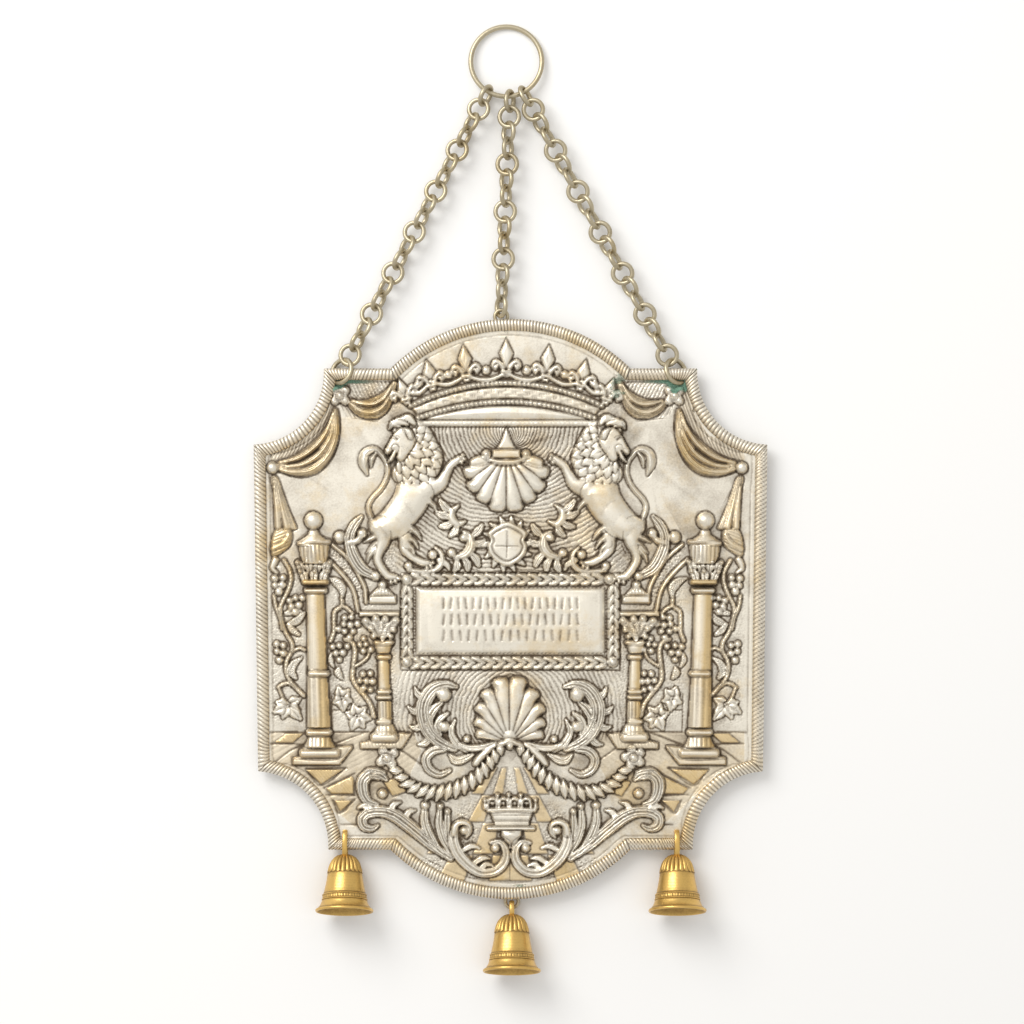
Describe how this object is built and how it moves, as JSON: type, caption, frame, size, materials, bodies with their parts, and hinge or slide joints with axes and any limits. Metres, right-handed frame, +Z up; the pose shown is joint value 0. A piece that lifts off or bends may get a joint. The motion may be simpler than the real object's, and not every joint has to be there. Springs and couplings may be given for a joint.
{
  "type": "torah shield",
  "caption": "Embossed silver shield with arched top and foot, hung on chains from a ring, with bells at its foot, lying face up.",
  "frame": {"origin": "on the ground under the centre of the whole object's bounding box", "axes": "+Z up out of the relief's face, +Y from the bells to the hanging ring along the shield's height, +X to the right of the relief as it is read"},
  "size_m": [0.231, 0.4296, 0.0253],
  "materials": {
    "silver": "embossed, chased and polished silver with darkened recesses",
    "parcel_gilt": "fluted half-round silver strip, partly gilt and worn",
    "wire": "silver-plated brass wire, worn and tarnished",
    "gilt": "polished gilt brass",
    "iron": "dull iron"
  },
  "bodies": {
    "root": {"plate": "silver", "border_arch_bottom": "parcel_gilt", "border_shoulder_bottom_right": "parcel_gilt", "border_bite_bottom_right": "parcel_gilt", "border_side_right": "parcel_gilt", "border_bite_top_right": "parcel_gilt", "border_shoulder_top_right": "parcel_gilt", "border_arch_top": "parcel_gilt", "border_shoulder_top_left": "parcel_gilt", "border_bite_top_left": "parcel_gilt", "border_side_left": "parcel_gilt", "border_bite_bottom_left": "parcel_gilt", "border_shoulder_bottom_left": "parcel_gilt", "hanging_ring": "wire", "chain_left": "wire", "chain_middle": "wire", "chain_right": "wire", "eye_top": "wire", "eye_bottom": "wire", "hanger_left": "gilt", "bell_left": "gilt", "clapper_left": "iron", "hanger_middle": "gilt", "bell_middle": "gilt", "clapper_middle": "iron", "hanger_right": "gilt", "bell_right": "gilt", "clapper_right": "iron"}
  },
  "joints": []
}
